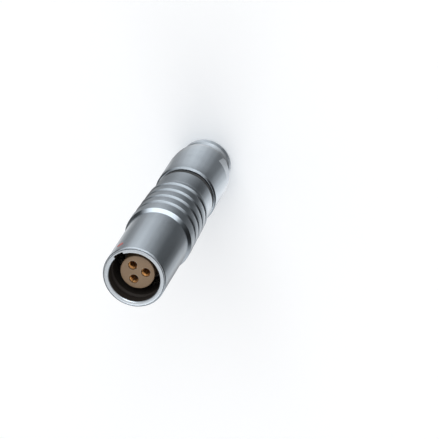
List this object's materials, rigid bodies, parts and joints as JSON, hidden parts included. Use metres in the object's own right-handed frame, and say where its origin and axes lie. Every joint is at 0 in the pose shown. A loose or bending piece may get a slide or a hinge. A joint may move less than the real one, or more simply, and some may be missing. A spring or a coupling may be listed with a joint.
{
  "type": "push pull circular connector, free receptacle",
  "caption": "Turned socket half of a keyed push-pull connector, with socket contacts in a round mouth, a ringed grip and a collet nut that clamps a cable.",
  "frame": {"origin": "middle of the collet nut's rear face, where the part stands", "axes": "+Z along the axis towards the mouth, -Y through the keyway and the red dot"},
  "size_m": [0.014, 0.014, 0.057],
  "materials": {
    "satin_chrome": "satin chrome plate on turned brass",
    "nickel_plate": "bright nickel plate on turned brass",
    "gold_plate": "gold plate on turned brass",
    "tan_plastic": "satin moulded plastic",
    "red_paint": "gloss enamel",
    "grey_rubber": "matt rubber",
    "black_rubber": "matt rubber"
  },
  "bodies": {
    "shell": {"shell": "satin_chrome", "alignment_dot": "red_paint", "insulator": "tan_plastic", "contact_1": "gold_plate", "contact_2": "gold_plate", "contact_3": "gold_plate", "earthing_crown": "nickel_plate", "carrier_half_left": "nickel_plate", "carrier_half_right": "nickel_plate", "retaining_ring": "nickel_plate"},
    "clamp": {"clamp_washer": "nickel_plate", "cable_gasket": "grey_rubber", "collet": "nickel_plate"},
    "nut": {"nut_seal": "black_rubber", "collet_nut": "satin_chrome"}
  },
  "joints": [
    {"name": "collet_slide", "type": "slide", "parent": "shell", "child": "clamp", "axis": [0, 0, -1], "range_m": [0, 0.0045]},
    {"name": "nut_spin", "type": "hinge", "parent": "clamp", "child": "nut", "pos_m": [0, 0, 0], "axis": [0, 0, -1], "range_deg": [0, 2160]}
  ],
  "couplings": [
    {"joint": "collet_slide", "follows": "nut_spin", "m_per_rad": 0.00011936}
  ]
}
